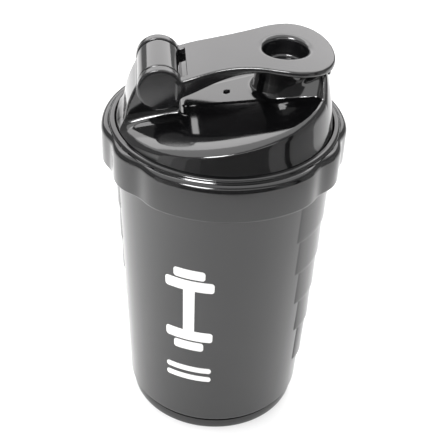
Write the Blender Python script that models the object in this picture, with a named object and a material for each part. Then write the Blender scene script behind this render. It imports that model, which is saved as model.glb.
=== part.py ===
"""Protein shaker bottle with a screw collar, a domed pour lid and a flip-over spout arm.

Frame: origin at the bottom centre, +Z up, +X from the hinge towards the spout.
Lengths below are in millimetres and become metres where a mesh is made.
"""
import math

import bmesh
import bpy

MM = 0.001
GAP = 0.3
SHARP_ANGLE = 35.0
EDGE = 0.5

# Cup: a tapered body on a smaller foot ring, with a threaded neck
FOOT_R = 36.25
FOOT_TOP_Z = 4.5
GROOVE_R = 35.7
BODY_BOTTOM_R = 38.35
BODY_BOTTOM_Z = 6.4
BODY_TOP_R = 43.65
BODY_TOP_Z = 124.5
CUP_WALL = 1.75
FLOOR_Z = 4.2
FLOOR_CURVE_TOP_Z = 10.5
FLOOR_CURVE = ((35.6, 7.6), (33.9, 5.2), (31.5, FLOOR_Z))
FOOT_RECESS_R = 31.2
FOOT_RECESS_Z = 2.2
FOOT_INNER_R = 32.0
NECK_R = 42.0
NECK_BORE_R = 40.2
RIM_Z = 136.1

# Side grips: two stacks of swellings, each swelling standing on a ledge
GRIP_CENTRES = (-20.0, 160.0)
GRIP_LEDGES_Z = (100.0, 82.0, 64.0, 46.0, 25.0)
GRIP_HALF_WIDTHS = (27.5, 25.0, 21.0, 16.0, 10.5)
GRIP_TOP_RISE = 1.0
GRIP_LEDGE_RISE = 1.6
LAST_LEDGE_RISE = 1.1
LEDGE_DROP = 0.6
GRIP_CURVE = 0.8

# Thread: four starts, one turn lifts the lid by LEAD
THREAD_STARTS = 4
LEAD = 16.0
THREAD_ARC = 100.0
THREAD_Z = 129.6
THREAD_WIDTH = 1.7
THREAD_FOOT = 0.1
THREAD_FLANK = 0.35
THREAD_BITE = 0.5
CUP_THREAD_R = 43.5
COLLAR_THREAD_R = 42.4
THREAD_STEPS = 14

# Screw collar: a lobed skirt under a round ring, open in the middle
COLLAR_BOTTOM_Z = 123.8
LOBE_R = 49.6
VALLEY_DEPTH = 2.1
VALLEY_SPREAD = 5.0
NARROW_LOBES = (90.0, 210.0, 330.0)
NARROW_LOBE_HALF = 12.5
COLLAR_BORE_R = 44.6
CATCH_BORE_R = 45.4
CATCH_Z = 137.4
WEB_Z = 139.9
COLLAR_TOP_Z = 141.6
RING_R = 46.6
RING_STEP_Z = 140.4

# Dome: the pour lid that the collar holds down on the cup
DOME_BASE_R = 43.85
DOME_WALL = ((43.85, 141.4), (43.2, 146.0), (42.3, 151.0), (41.4, 155.0), (40.0, 161.0), (38.9, 165.0))
DOME_THICK = 2.0
DECK_CENTRE_Z = 152.6
DECK_SLOPE = 0.18
DECK_EDGE_DROP = 2.5
CREST_Z = 167.0
CREST_HALF_ANGLE = 30.0
CREST_START = 0.80
RIM_R = 41.5
RIM_ROUNDING = 0.9
DECK_SHARES = (0.15, 0.5, CREST_START, 0.88, 0.94, 1.0)
SEAT_Z = 137.9
SEAT_THICK = 1.9
SEAT_IN_R = 40.8
INNER_DROP = 2.2
SKIRT_R = 38.2
SKIRT_BORE_R = 36.6
SKIRT_BOTTOM_Z = 131.5
BEAD_R = 44.8
BEAD_LOW_Z = 138.6
BEAD_HIGH_Z = 139.1

# Spout, with a narrower throat that the plug's ring closes
SPOUT_X = 22.5
SPOUT_R = 12.1
SPOUT_BORE_R = 10.9
SPOUT_ROOT_Z = 153.6
SPOUT_TOP_Z = 169.0
THROAT_R = 10.3
THROAT_LOW_Z = 150.0
THROAT_TOP_Z = 161.8
VENT_X = 0.3
VENT_R = 1.2
VENT_LOW_Z = 146.0
VENT_HIGH_Z = 158.0

# Hinge across the top of the post
HINGE_X = -26.5
HINGE_Z = 161.5
POST_OUTLINE = ((-41.3, 145.5), (-34.4, 164.5), (-30.0, 168.0), (-26.5, 163.0), (-19.6, 158.0),
                (-19.0, 147.0))
BARREL_R = 8.6
BARREL_HALF = 10.5
PIN_R = 2.2
PIN_HALF = 13.1
PIN_BORE_R = 2.5
EAR_R = 8.85
EAR_IN = BARREL_HALF + GAP
EAR_OUT = 14.9
SLOT_R = 11.2

# Flip arm: an arched plate that widens into a paddle
ARM_TOP_Z = 172.5
ARM_TOP_X = 21.0
ARM_ARCH = 0.00453
ARM_THICK = 2.3
ARM_START_X = -21.0
ARM_SKIRT = 7.0
ARM_SKIRT_WALL = 2.2
ARM_SKIRT_END_X = 5.0
ARM_EDGE = 0.4
NECK_HALF_POINTS = ((-21.0, 14.9), (-15.0, 14.9), (-4.0, 14.0), (4.0, 14.6), (11.0, 16.4), (18.0, 19.1),
                    (25.0, 20.6))
NECK_STEP = 3.3
CHANNEL_LOW_Z = 140.0
PADDLE_X = 25.0
PADDLE_HALF = 20.6
PADDLE_REACH = 16.8
PADDLE_POWER = 2.15
PADDLE_END = 0.998
RIB_IN_R = 39.3
RIB_OUT_R = 40.4
RIB_ANGLE = 17.0
RIB_BOTTOM_Z = 166.5
RIB_SINK = 1.0

# Plug under the paddle and its sealing ring
PLUG_R = 9.8
PLUG_END_R = 9.6
PLUG_BORE_TOP_R = 9.25
PLUG_BORE_R = 8.7
PLUG_BORE_Z = 164.0
PLUG_BOTTOM_Z = 158.7
PLUG_TOP_Z = 171.2
PLUG_BORE_TOP_Z = 171.8
PLUG_FLARE = 1.2
SEAL_GROOVE_R = 8.2
SEAL_GROOVE_HALF = 1.1
SEAL_Z = 160.75
SEAL_MEAN_R = 9.25
SEAL_SECTION_R = 0.75

# Gasket and mixing grid inside the lid
GASKET_IN_R = SKIRT_R + GAP
GASKET_OUT_R = 43.3
GASKET_LOW_Z = RIM_Z + GAP
GASKET_HIGH_Z = SEAT_Z - GAP
GRID_R = 36.2
GRID_RIM_IN_R = 34.2
GRID_LOW_Z = 132.0
GRID_PLATE_Z = 133.8
GRID_HIGH_Z = 136.0
GRID_HOLE_R = 3.6
GRID_PITCH = 9.2
GRID_REACH = 30.0

# Number of sides of the round pieces
CUP_ROUND = 60
COLLAR_ROUND = 72
LID_ROUND = 48
SMALL_ROUND = 28
PIN_ROUND = 20
VENT_ROUND = 12
RING_SECTION_ROUND = 8


# ---------------------------------------------------------------- helpers

def clear_scene():
    for old in list(bpy.data.objects):
        bpy.data.objects.remove(old, do_unlink=True)


def material(name, colour, roughness, metallic=0.0):
    made = bpy.data.materials.new(name)
    made.use_nodes = True
    shader = made.node_tree.nodes["Principled BSDF"]
    shader.inputs["Base Color"].default_value = (*colour, 1.0)
    shader.inputs["Roughness"].default_value = roughness
    shader.inputs["Metallic"].default_value = metallic
    return made


def mesh_object(name, points, faces, finish=None, origin=(0.0, 0.0, 0.0)):
    """An object from millimetre points, with its origin at the given millimetre point."""
    mesh = bpy.data.meshes.new(name)
    shape = bmesh.new()
    corners = [shape.verts.new([(p - o) * MM for p, o in zip(point, origin)]) for point in points]
    for face in faces:
        shape.faces.new([corners[i] for i in face])
    bmesh.ops.recalc_face_normals(shape, faces=shape.faces)
    shape.to_mesh(mesh)
    shape.free()
    if finish:
        mesh.materials.append(finish)
    made = bpy.data.objects.new(name, mesh)
    made.location = [o * MM for o in origin]
    bpy.context.collection.objects.link(made)
    mesh.shade_smooth()
    mesh.set_sharp_from_angle(angle=math.radians(SHARP_ANGLE))
    return made


def skin(rings, closed=False):
    """Points and faces of a skin over rings of equal length; an open skin gets end caps."""
    count = len(rings[0])
    points = [point for ring in rings for point in ring]
    faces = []
    spans = len(rings) if closed else len(rings) - 1
    for row in range(spans):
        low = row * count
        high = (row + 1) % len(rings) * count
        for i in range(count):
            j = (i + 1) % count
            faces.append((low + i, low + j, high + j, high + i))
    if not closed:
        faces.append(tuple(range(count)))
        faces.append(tuple(len(points) - count + i for i in range(count)))
    return points, faces


def ring(radius, z, count, centre=(0.0, 0.0)):
    """One level ring; radius and z are numbers or functions of the angle in degrees."""
    points = []
    for i in range(count):
        angle = 360.0 * i / count
        r = radius(angle) if callable(radius) else radius
        h = z(angle) if callable(z) else z
        a = math.radians(angle)
        points.append((centre[0] + r * math.cos(a), centre[1] + r * math.sin(a), h))
    return points


def turned(name, profile, count, finish=None, centre=(0.0, 0.0), closed=False):
    """A turned piece from (radius, z) pairs."""
    rings = [ring(r, z, count, centre) for r, z in profile]
    points, faces = skin(rings, closed)
    return mesh_object(name, points, faces, finish)


def bar_y(name, radius, half, x, z, count=SMALL_ROUND, low=None, finish=None, origin=(0.0, 0.0, 0.0)):
    """A round bar along Y, from low (or -half) to half."""
    ends = (-half if low is None else low, half)
    rings = []
    for y in ends:
        rings.append([(x + radius * math.cos(math.tau * i / count), y,
                       z + radius * math.sin(math.tau * i / count)) for i in range(count)])
    points, faces = skin(rings)
    return mesh_object(name, points, faces, finish, origin)


def prism_y(name, outline, half):
    """An outline of (x, z) pairs pushed out along Y to both sides."""
    rings = [[(x, y, z) for x, z in outline] for y in (-half, half)]
    points, faces = skin(rings)
    return mesh_object(name, points, faces)


def combine(target, tool, operation):
    """A Boolean that stays on the target; the tool is only a guide."""
    cut = target.modifiers.new(tool.name, "BOOLEAN")
    cut.operation = operation
    cut.solver = "EXACT"
    cut.object = tool
    tool.hide_render = True
    tool.display_type = "WIRE"


def turn_gap(angle, centre):
    """The smallest angle between two directions, in degrees."""
    return abs((angle - centre + 180.0) % 360.0 - 180.0)


def smooth(low, high, value):
    t = min(max((value - low) / (high - low), 0.0), 1.0)
    return t * t * (3.0 - 2.0 * t)


def between(pairs, value):
    """The size at a place, on straight lines through (place, size) pairs."""
    if value <= pairs[0][0]:
        return pairs[0][1]
    for (a, size_a), (b, size_b) in zip(pairs, pairs[1:]):
        if value <= b:
            return size_a + (size_b - size_a) * (value - a) / (b - a)
    return pairs[-1][1]


def screw_ridges(name, root_r, crest_r, z_start):
    """The thread's ridges: one trapezium swept up each start's helix."""
    points = []
    faces = []
    out = 1.0 if crest_r > root_r else -1.0
    root = root_r - THREAD_BITE * out
    half = THREAD_WIDTH / 2
    section = ((root, -half - THREAD_FOOT), (crest_r, -half + THREAD_FLANK),
               (crest_r, half - THREAD_FLANK), (root, half + THREAD_FOOT))
    for start in range(THREAD_STARTS):
        rings = []
        for step in range(THREAD_STEPS + 1):
            turn = THREAD_ARC * step / THREAD_STEPS
            a = math.radians(360.0 * start / THREAD_STARTS + turn)
            z = z_start + LEAD * turn / 360.0
            rings.append([(r * math.cos(a), r * math.sin(a), z + dz) for r, dz in section])
        some, more = skin(rings)
        faces += [tuple(i + len(points) for i in face) for face in more]
        points += some
    return mesh_object(name, points, faces)


# ---------------------------------------------------------------- cup

def body_radius(z):
    share = (z - BODY_BOTTOM_Z) / (BODY_TOP_Z - BODY_BOTTOM_Z)
    return BODY_BOTTOM_R + (BODY_TOP_R - BODY_BOTTOM_R) * share


def grip_ring(z, half_width, rise):
    """A ring of the body, swollen over both grips."""
    def radius(angle):
        out = 0.0
        for centre in GRIP_CENTRES:
            x = turn_gap(angle, centre) / half_width
            if x < 1.0:
                out = rise * (1.0 - x * x) ** GRIP_CURVE
        return body_radius(z) + out
    return ring(radius, z, CUP_ROUND)


def grip_rings():
    """From the lowest ledge up to the collar, two rings for each swelling."""
    rings = []
    tiers = list(zip(GRIP_LEDGES_Z, GRIP_HALF_WIDTHS))
    tops = [BODY_TOP_Z - 1.2] + [z - LEDGE_DROP for z in GRIP_LEDGES_Z[:-1]]
    for (ledge_z, half_width), top_z in reversed(list(zip(tiers, tops))):
        ledge_rise = LAST_LEDGE_RISE if ledge_z == GRIP_LEDGES_Z[-1] else GRIP_LEDGE_RISE
        if ledge_z == GRIP_LEDGES_Z[-1]:
            rings.append(grip_ring(ledge_z - LEDGE_DROP, half_width, 0.0))
        rings.append(grip_ring(ledge_z, half_width, ledge_rise))
        rings.append(grip_ring(top_z, half_width, GRIP_TOP_RISE))
    return rings


def make_cup(finish):
    def level(r, z):
        return ring(r, z, CUP_ROUND)

    foot = [level(FOOT_RECESS_R, FOOT_RECESS_Z), level(FOOT_INNER_R, 0.0), level(FOOT_R - EDGE, 0.0),
            level(FOOT_R, EDGE), level(FOOT_R, FOOT_TOP_Z), level(GROOVE_R, FOOT_TOP_Z + 0.4),
            level(GROOVE_R, BODY_BOTTOM_Z - 0.4), level(BODY_BOTTOM_R - 0.8, BODY_BOTTOM_Z - 0.3),
            level(BODY_BOTTOM_R, BODY_BOTTOM_Z + 0.6)]
    neck = [level(BODY_TOP_R, BODY_TOP_Z), level(BODY_TOP_R - 0.3, BODY_TOP_Z + 0.6),
            level(NECK_R, BODY_TOP_Z + 1.4), level(NECK_R, RIM_Z - EDGE), level(NECK_R - EDGE, RIM_Z),
            level(NECK_BORE_R + EDGE, RIM_Z), level(NECK_BORE_R, RIM_Z - EDGE)]
    inside = [level(NECK_BORE_R, BODY_TOP_Z + 2.0), level(BODY_TOP_R - CUP_WALL, BODY_TOP_Z - 3.0),
              level(body_radius(FLOOR_CURVE_TOP_Z) - CUP_WALL, FLOOR_CURVE_TOP_Z)]
    inside += [level(r, z) for r, z in FLOOR_CURVE]
    points, faces = skin(foot + grip_rings() + neck + inside)
    cup = mesh_object("cup_body", points, faces, finish)
    ridges = screw_ridges("cup_thread_guide", NECK_R, CUP_THREAD_R, THREAD_Z)
    combine(cup, ridges, "UNION")
    return cup


# ---------------------------------------------------------------- screw collar

def lobe_radius(angle):
    """The skirt's wavy outline: a soft valley on each side of every narrow lobe."""
    dip = 0.0
    for centre in NARROW_LOBES:
        for side in (-NARROW_LOBE_HALF, NARROW_LOBE_HALF):
            dip += math.exp(-(turn_gap(angle, centre + side) / VALLEY_SPREAD) ** 2)
    return LOBE_R - VALLEY_DEPTH * dip


def make_collar(finish):
    def level(r, z):
        return ring(r, z, COLLAR_ROUND)

    def lobed(inset, z):
        return ring(lambda angle: max(lobe_radius(angle) - inset, RING_R - 0.6), z, COLLAR_ROUND)

    rings = [level(DOME_BASE_R + GAP, COLLAR_TOP_Z), level(RING_R - EDGE, COLLAR_TOP_Z),
             level(RING_R, COLLAR_TOP_Z - EDGE), level(RING_R - 0.1, RING_STEP_Z),
             lobed(1.3, RING_STEP_Z - 0.2), lobed(0.4, RING_STEP_Z - 1.2), lobed(0.0, RING_STEP_Z - 3.0),
             lobed(0.0, COLLAR_BOTTOM_Z + 0.8), lobed(0.6, COLLAR_BOTTOM_Z),
             level(COLLAR_BORE_R + EDGE, COLLAR_BOTTOM_Z), level(COLLAR_BORE_R, COLLAR_BOTTOM_Z + EDGE),
             level(COLLAR_BORE_R, CATCH_Z), level(CATCH_BORE_R, CATCH_Z + 0.6), level(CATCH_BORE_R, WEB_Z),
             level(DOME_BASE_R + GAP, WEB_Z)]
    points, faces = skin(rings, closed=True)
    collar = mesh_object("screw_collar", points, faces, finish)
    ridges = screw_ridges("collar_thread_guide", COLLAR_BORE_R, COLLAR_THREAD_R,
                          THREAD_Z - LEAD / THREAD_STARTS / 2)
    combine(collar, ridges, "UNION")
    return collar


# ---------------------------------------------------------------- dome

def wall_radius(z):
    return between([(height, r) for r, height in DOME_WALL], z)


def deck_z(x, y, reach):
    """Height of the deck; reach is the share of the way from the middle to the wall."""
    return DECK_CENTRE_Z + DECK_SLOPE * x - DECK_EDGE_DROP * reach ** 4


def crest(angle):
    """How far the wall stands up behind the spout, 0 to 1."""
    return 1.0 - smooth(8.0, CREST_HALF_ANGLE, turn_gap(angle, 0.0))


def rim_height(angle):
    a = math.radians(angle)
    low = deck_z(RIM_R * math.cos(a), RIM_R * math.sin(a), 1.0)
    return low + (CREST_Z - low) * crest(angle)


def top_ring(share, drop, inset):
    """A ring of the deck at a share of the wall's radius, rising to the crest behind the spout."""
    def radius(angle):
        return (wall_radius(rim_height(angle)) - inset) * share

    def height(angle):
        a = math.radians(angle)
        r = radius(angle)
        low = deck_z(r * math.cos(a), r * math.sin(a), share)
        rise = crest(angle) * smooth(CREST_START, 1.0, share)
        return low + (CREST_Z - 0.3 - low) * rise - drop
    return ring(radius, height, LID_ROUND)


def wall_ring(share, inset, low_z, drop=0.0):
    """A ring of the wall, at a share of the height from low_z up to the rim."""
    def height(angle):
        return low_z + (rim_height(angle) - drop - low_z) * share

    def radius(angle):
        return wall_radius(height(angle)) - inset
    return ring(radius, height, LID_ROUND)


def dome_shell():
    """The lid's skin: out over the deck, down the wall and the skirt, and back up inside."""
    def level(r, z):
        return ring(r, z, LID_ROUND)

    edge = RIM_ROUNDING
    deck = [top_ring(share, 0.0, edge) for share in DECK_SHARES]
    wall = [wall_ring(share, 0.0, COLLAR_TOP_Z - 0.2, edge) for share in (1.0, 0.67, 0.33)]
    base = [level(DOME_BASE_R, COLLAR_TOP_Z - 0.2), level(DOME_BASE_R, BEAD_HIGH_Z + 0.6),
            level(BEAD_R, BEAD_HIGH_Z), level(BEAD_R, BEAD_LOW_Z), level(DOME_BASE_R, SEAT_Z)]
    skirt = [level(SKIRT_R, SEAT_Z), level(SKIRT_R, SKIRT_BOTTOM_Z + EDGE),
             level(SKIRT_R - EDGE, SKIRT_BOTTOM_Z), level(SKIRT_BORE_R + EDGE, SKIRT_BOTTOM_Z),
             level(SKIRT_BORE_R, SKIRT_BOTTOM_Z + EDGE),
             level(SKIRT_BORE_R, SEAT_Z + SEAT_THICK - 0.3), level(SEAT_IN_R, SEAT_Z + SEAT_THICK)]
    inner_wall = [wall_ring(share, DOME_THICK, SEAT_Z + SEAT_THICK, INNER_DROP) for share in (0.5, 1.0)]
    inner_deck = [top_ring(share, DOME_THICK, edge) for share in (0.9, CREST_START, 0.5, 0.15)]
    return deck + wall + base + skirt + inner_wall + inner_deck


def make_post():
    """The post that carries the barrel, leaning in with the wall."""
    return prism_y("post_guide", POST_OUTLINE, BARREL_HALF)


def make_dome(finish):
    points, faces = skin(dome_shell())
    dome = mesh_object("pour_dome", points, faces, finish)
    barrel = bar_y("barrel_guide", BARREL_R, BARREL_HALF, HINGE_X, HINGE_Z)
    pin_bore = bar_y("pin_bore_guide", PIN_BORE_R, BARREL_HALF + 1.0, HINGE_X, HINGE_Z)
    at_spout = (SPOUT_X, 0.0)
    tube = turned("spout_guide", ((SPOUT_R, SPOUT_ROOT_Z), (SPOUT_R, SPOUT_TOP_Z - EDGE),
                                  (SPOUT_R - EDGE, SPOUT_TOP_Z)), SMALL_ROUND, centre=at_spout)
    bore = turned("spout_bore_guide", ((THROAT_R, THROAT_LOW_Z), (THROAT_R, THROAT_TOP_Z - EDGE),
                                       (SPOUT_BORE_R, THROAT_TOP_Z), (SPOUT_BORE_R, SPOUT_TOP_Z + 1.0)),
                  SMALL_ROUND, centre=at_spout)
    vent = turned("vent_guide", ((VENT_R, VENT_LOW_Z), (VENT_R, VENT_HIGH_Z)), VENT_ROUND,
                  centre=(VENT_X, 0.0))
    combine(dome, make_post(), "UNION")
    combine(dome, barrel, "UNION")
    combine(dome, tube, "UNION")
    combine(dome, bore, "DIFFERENCE")
    combine(dome, vent, "DIFFERENCE")
    combine(dome, pin_bore, "DIFFERENCE")
    return dome


# ---------------------------------------------------------------- flip arm

def arm_top(x):
    return ARM_TOP_Z - ARM_ARCH * (x - ARM_TOP_X) ** 2


def arm_half_width(x):
    if x <= PADDLE_X:
        return between(NECK_HALF_POINTS, x)
    reach = min((x - PADDLE_X) / PADDLE_REACH, 1.0)
    return PADDLE_HALF * (1.0 - reach ** PADDLE_POWER) ** (1.0 / PADDLE_POWER)


def arm_depth(x):
    """The side skirts are deep at the ears and run out before the paddle."""
    return ARM_THICK + (ARM_SKIRT - ARM_THICK) * (1.0 - smooth(ARM_START_X, ARM_SKIRT_END_X, x))


def arm_stations():
    neck = [ARM_START_X + NECK_STEP * i for i in range(14)]
    paddle = [PADDLE_X + PADDLE_REACH * math.sin(math.radians(a)) for a in range(0, 90, 9)]
    return neck + paddle + [PADDLE_X + PADDLE_REACH * PADDLE_END]


def arm_blank():
    rings = []
    for x in arm_stations():
        half = arm_half_width(x)
        top = arm_top(x)
        low = top - arm_depth(x)
        rings.append([(x, -half, low), (x, half, low), (x, half, top - ARM_EDGE), (x, half - ARM_EDGE, top),
                      (x, -half + ARM_EDGE, top), (x, -half, top - ARM_EDGE)])
    return skin(rings)


def channel_guide():
    """Cuts the hollow between the arm's side skirts."""
    rings = []
    for i in range(10):
        x = ARM_START_X - 4.0 + (ARM_SKIRT_END_X + 4.0 - ARM_START_X) * i / 9
        half = arm_half_width(x) - ARM_SKIRT_WALL
        ceiling = arm_top(x) - ARM_THICK
        rings.append([(x, -half, CHANNEL_LOW_Z), (x, half, CHANNEL_LOW_Z), (x, half, ceiling),
                      (x, -half, ceiling)])
    points, faces = skin(rings)
    return mesh_object("channel_guide", points, faces)


def tip_rib():
    """The rib under the tip that closes over the crest of the dome."""
    rings = []
    for i in range(9):
        a = math.radians(-RIB_ANGLE + 2 * RIB_ANGLE * i / 8)
        top = arm_top(RIB_IN_R * math.cos(a)) - RIB_SINK
        rings.append([(r * math.cos(a), r * math.sin(a), z) for r, z in (
            (RIB_IN_R, RIB_BOTTOM_Z), (RIB_OUT_R, RIB_BOTTOM_Z), (RIB_OUT_R, top), (RIB_IN_R, top))])
    points, faces = skin(rings)
    return mesh_object("tip_rib_guide", points, faces)


def make_arm(finish):
    origin = (HINGE_X, 0.0, HINGE_Z)
    points, faces = arm_blank()
    arm = mesh_object("flip_arm", points, faces, finish, origin)
    at_spout = (SPOUT_X, 0.0)
    combine(arm, channel_guide(), "DIFFERENCE")
    ears = []
    for side, name in ((1, "near"), (-1, "far")):
        low, high = sorted((side * EAR_IN, side * EAR_OUT))
        ears.append(bar_y("ear_guide_" + name, EAR_R, high, HINGE_X, HINGE_Z, low=low))
    for ear in ears:
        combine(arm, ear, "UNION")
    combine(arm, bar_y("slot_guide", SLOT_R, EAR_IN, HINGE_X, HINGE_Z), "DIFFERENCE")
    combine(arm, bar_y("ear_bore_guide", PIN_BORE_R, PIN_HALF + GAP, HINGE_X, HINGE_Z), "DIFFERENCE")
    groove_low = SEAL_Z - SEAL_GROOVE_HALF
    groove_high = SEAL_Z + SEAL_GROOVE_HALF
    plug = turned("plug_guide", ((PLUG_END_R - EDGE, PLUG_BOTTOM_Z), (PLUG_END_R, PLUG_BOTTOM_Z + EDGE),
                                 (PLUG_END_R, groove_low), (SEAL_GROOVE_R, groove_low),
                                 (SEAL_GROOVE_R, groove_high), (PLUG_R, groove_high), (PLUG_R, PLUG_TOP_Z)),
                  SMALL_ROUND, centre=at_spout)
    combine(arm, plug, "UNION")
    hollow = turned("plug_bore_guide", ((PLUG_BORE_R - 1.0, PLUG_BORE_Z), (PLUG_BORE_R, PLUG_BORE_Z + 1.0),
                                        (PLUG_BORE_TOP_R, PLUG_BORE_TOP_Z),
                                        (PLUG_BORE_TOP_R + PLUG_FLARE, PLUG_BORE_TOP_Z + PLUG_FLARE)),
                    SMALL_ROUND, centre=at_spout)
    combine(arm, hollow, "DIFFERENCE")
    combine(arm, tip_rib(), "UNION")
    return arm


def make_plug_seal(finish):
    profile = []
    for i in range(RING_SECTION_ROUND):
        a = math.tau * (i + 0.5) / RING_SECTION_ROUND
        profile.append((SEAL_MEAN_R + SEAL_SECTION_R * math.cos(a), SEAL_Z + SEAL_SECTION_R * math.sin(a)))
    return turned("plug_seal", profile, SMALL_ROUND, finish, centre=(SPOUT_X, 0.0), closed=True)


def make_pin(finish):
    return bar_y("hinge_pin", PIN_R, PIN_HALF, HINGE_X, HINGE_Z, count=PIN_ROUND, finish=finish,
                 origin=(HINGE_X, 0.0, HINGE_Z))


# ---------------------------------------------------------------- inside the lid

def make_gasket(finish):
    profile = ((GASKET_IN_R, GASKET_LOW_Z), (GASKET_OUT_R, GASKET_LOW_Z),
               (GASKET_OUT_R, GASKET_HIGH_Z), (GASKET_IN_R, GASKET_HIGH_Z))
    return turned("lid_gasket", profile, LID_ROUND, finish, closed=True)


def grid_holes():
    """Hexagonal holes on a triangular pitch."""
    points = []
    faces = []
    reach = int(GRID_REACH // GRID_PITCH) + 2
    for row in range(-reach, reach + 1):
        for column in range(-reach, reach + 1):
            x = GRID_PITCH * (column + row / 2)
            y = GRID_PITCH * row * math.sqrt(3) / 2
            if math.hypot(x, y) > GRID_REACH:
                continue
            rings = [ring(GRID_HOLE_R, z, 6, (x, y)) for z in (GRID_LOW_Z - 1.0, GRID_PLATE_Z + 1.0)]
            some, more = skin(rings)
            faces += [tuple(i + len(points) for i in face) for face in more]
            points += some
    return mesh_object("grid_hole_guide", points, faces)


def make_grid(finish):
    profile = ((GRID_R - EDGE, GRID_LOW_Z), (GRID_R, GRID_LOW_Z + EDGE), (GRID_R, GRID_HIGH_Z),
               (GRID_RIM_IN_R, GRID_HIGH_Z), (GRID_RIM_IN_R, GRID_PLATE_Z))
    grid = turned("mixing_grid", profile, LID_ROUND, finish)
    combine(grid, grid_holes(), "DIFFERENCE")
    return grid


# ---------------------------------------------------------------- the bottle

def build():
    clear_scene()
    black_satin = material("black_satin", (0.022, 0.022, 0.024), 0.32)
    black_gloss = material("black_gloss", (0.010, 0.010, 0.011), 0.12)
    silicone = material("silicone", (0.10, 0.10, 0.11), 0.6)
    grey_plastic = material("grey_plastic", (0.05, 0.05, 0.055), 0.4)
    make_cup(black_satin)
    make_collar(black_gloss)
    make_dome(black_gloss)
    make_arm(black_gloss)
    make_pin(grey_plastic)
    make_plug_seal(silicone)
    make_gasket(silicone)
    make_grid(grey_plastic)


build()
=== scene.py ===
"""Looks of the protein shaker bottle: fine moulded surfaces, materials, floor, light and camera.

The CAD frame is loaded first and never changed. Shapes below are in millimetres, in the frame's axes
(+Z up, +X from the hinge to the spout), and become metres where a mesh is made.
"""
import math

import bpy
import numpy as np
from mathutils import Matrix, Vector


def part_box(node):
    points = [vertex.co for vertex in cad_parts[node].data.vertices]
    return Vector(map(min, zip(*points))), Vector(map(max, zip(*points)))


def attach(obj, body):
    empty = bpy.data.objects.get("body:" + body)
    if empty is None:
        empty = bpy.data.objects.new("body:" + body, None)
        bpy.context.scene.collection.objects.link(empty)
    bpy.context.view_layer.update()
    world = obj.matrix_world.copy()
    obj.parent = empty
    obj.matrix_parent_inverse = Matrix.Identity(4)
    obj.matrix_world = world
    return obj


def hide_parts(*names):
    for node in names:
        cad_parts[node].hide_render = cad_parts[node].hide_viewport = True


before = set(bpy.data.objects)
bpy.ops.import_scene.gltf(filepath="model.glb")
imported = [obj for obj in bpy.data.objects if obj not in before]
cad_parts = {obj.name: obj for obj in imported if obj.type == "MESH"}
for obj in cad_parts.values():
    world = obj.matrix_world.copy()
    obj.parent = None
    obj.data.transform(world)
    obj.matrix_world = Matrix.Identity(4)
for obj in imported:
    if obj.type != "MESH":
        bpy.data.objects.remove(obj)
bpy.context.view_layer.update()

MM = 0.001
GAP = 0.3


def node_mm(name):
    """The lowest and highest corner of a CAD node, in millimetres."""
    low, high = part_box(name)
    return [v / MM for v in low], [v / MM for v in high]


CUP_HIGH = node_mm("cup_body")[1]
COLLAR_LOW, COLLAR_HIGH = node_mm("screw_collar")
DOME_LOW, DOME_HIGH = node_mm("pour_dome")
ARM_LOW, ARM_HIGH = node_mm("flip_arm")
PIN_LOW, PIN_HIGH = node_mm("hinge_pin")
SEAL_LOW, SEAL_HIGH = node_mm("plug_seal")

GASKET_LOW_R = 38.5

# Cup
FOOT_R = 36.9
FOOT_TOP_Z = 4.5
GROOVE_R = 35.6
BODY_BOTTOM_R = 38.35
BODY_BOTTOM_Z = 6.4
BODY_ROUND = 1.5
BODY_TOP_R = 43.65
BODY_TOP_Z = 124.5
CUP_WALL = 1.75
FLOOR_Z = 4.2
FOOT_RECESS_Z = 2.2
NECK_R = 42.0
NECK_BORE_R = 40.2
RIM_Z = CUP_HIGH[2]
GRIP_CENTRES = (-20.0, 160.0)
GRIP_LEDGES_Z = (100.0, 82.0, 64.0, 46.0, 25.0)
GRIP_HALF_WIDTHS = (27.5, 25.0, 21.0, 16.0, 10.5)
GRIP_TOP_RISE = 1.0
GRIP_LEDGE_RISE = 1.6
LAST_LEDGE_RISE = 1.1
LEDGE_DROP = 0.15
LEDGE_ROUND = 0.6
LEDGE_TURNS = (80, 60, 40, 20, 0)
GRIP_SHARES = (0.1, 0.3, 0.5, 0.7, 0.9, 0.99, 1.0)
GRIP_FULLNESS = 0.65
BODY_LIP_Z = BODY_BOTTOM_Z - 0.4
FOOT_PROFILE = ((31.2, FOOT_RECESS_Z), (31.7, FOOT_RECESS_Z - 0.5), (32.0, 0.3), (32.3, 0.0),
                (FOOT_R - 0.8, 0.0), (FOOT_R - 0.25, 0.2), (FOOT_R, 0.8), (FOOT_R, FOOT_TOP_Z - 0.4),
                (FOOT_R - 0.12, FOOT_TOP_Z - 0.12), (FOOT_R - 0.4, FOOT_TOP_Z), (GROOVE_R, FOOT_TOP_Z + 0.2),
                (GROOVE_R, BODY_BOTTOM_Z - 0.6), (GROOVE_R + 0.3, BODY_LIP_Z))
RIM_PROFILE = ((NECK_R, RIM_Z - 0.5), (NECK_R - 0.15, RIM_Z - 0.15), (NECK_R - 0.5, RIM_Z),
               (NECK_BORE_R + 0.5, RIM_Z), (NECK_BORE_R + 0.15, RIM_Z - 0.15), (NECK_BORE_R, RIM_Z - 0.5))
SHOULDER_PROFILE = ((BODY_TOP_R, BODY_TOP_Z), (BODY_TOP_R - 0.3, BODY_TOP_Z + 0.6))
INSIDE_SHOULDER = ((NECK_BORE_R, BODY_TOP_Z + 2.0), (BODY_TOP_R - CUP_WALL, BODY_TOP_Z - 3.0))
FLOOR_CURVE = ((36.2, 8.6), (35.4, 7.0), (34.3, 5.6), (33.0, 4.7), (31.5, FLOOR_Z))
FLOOR_CURVE_TOP_Z = 10.5

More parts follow.
